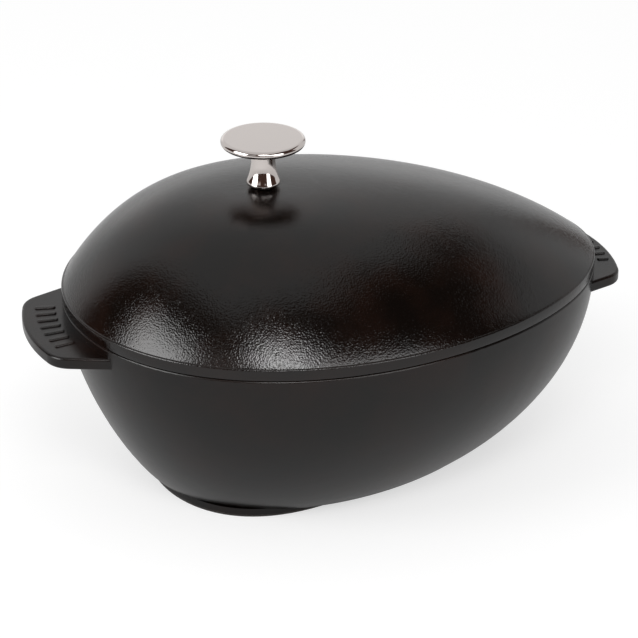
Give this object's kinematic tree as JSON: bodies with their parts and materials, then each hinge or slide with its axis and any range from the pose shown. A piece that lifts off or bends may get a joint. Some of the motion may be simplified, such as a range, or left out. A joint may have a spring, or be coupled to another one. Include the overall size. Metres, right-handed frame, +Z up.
{
  "type": "mussel pot",
  "caption": "Egg-shaped cast iron mussel pot with flat side handles, a domed lift-off lid with a turned metal knob, and a pierced strainer on legs.",
  "frame": {"origin": "on the table, under the middle of the pot and its two handles", "axes": "+X along the pot towards its narrow end, +Z up, -Y towards the picture's camera"},
  "size_m": [0.2799, 0.1926, 0.1613],
  "materials": {
    "pot_enamel": "satin black enamel",
    "lid_enamel": "black enamel with a fine orange-peel texture",
    "knob_metal": "polished nickel-plated steel",
    "fixing_steel": "plain stainless steel",
    "strainer_steel": "brushed stainless sheet",
    "wire_steel": "drawn stainless wire"
  },
  "bodies": {
    "pot": {"pot_body": "pot_enamel"},
    "lid": {"lid": "lid_enamel", "lid_knob": "knob_metal", "knob_screw": "fixing_steel", "knob_washer": "fixing_steel", "knob_lock_washer": "fixing_steel"},
    "strainer": {"strainer_plate": "strainer_steel", "strainer_leg_1": "strainer_steel", "strainer_leg_2": "strainer_steel", "strainer_leg_3": "strainer_steel", "strainer_leg_4": "strainer_steel", "loop_bracket_left": "strainer_steel", "loop_bracket_right": "strainer_steel", "loop_rivets": "fixing_steel"},
    "loop": {"lift_loop": "wire_steel"}
  },
  "joints": [
    {"name": "lid_lift", "type": "slide", "parent": "pot", "child": "lid", "axis": [0, 0, 1], "range_m": [0, 0.18]},
    {"name": "strainer_lift", "type": "slide", "parent": "pot", "child": "strainer", "axis": [0, 0, 1], "range_m": [0, 0.09]},
    {"name": "loop_fold", "type": "hinge", "parent": "strainer", "child": "loop", "pos_m": [0.00385, 0, 0.0355], "axis": [1, 0, 0], "range_deg": [0, 188]}
  ],
  "couplings": [
    {"joint": "strainer_lift", "follows": "lid_lift", "ratio": 0.5}
  ]
}
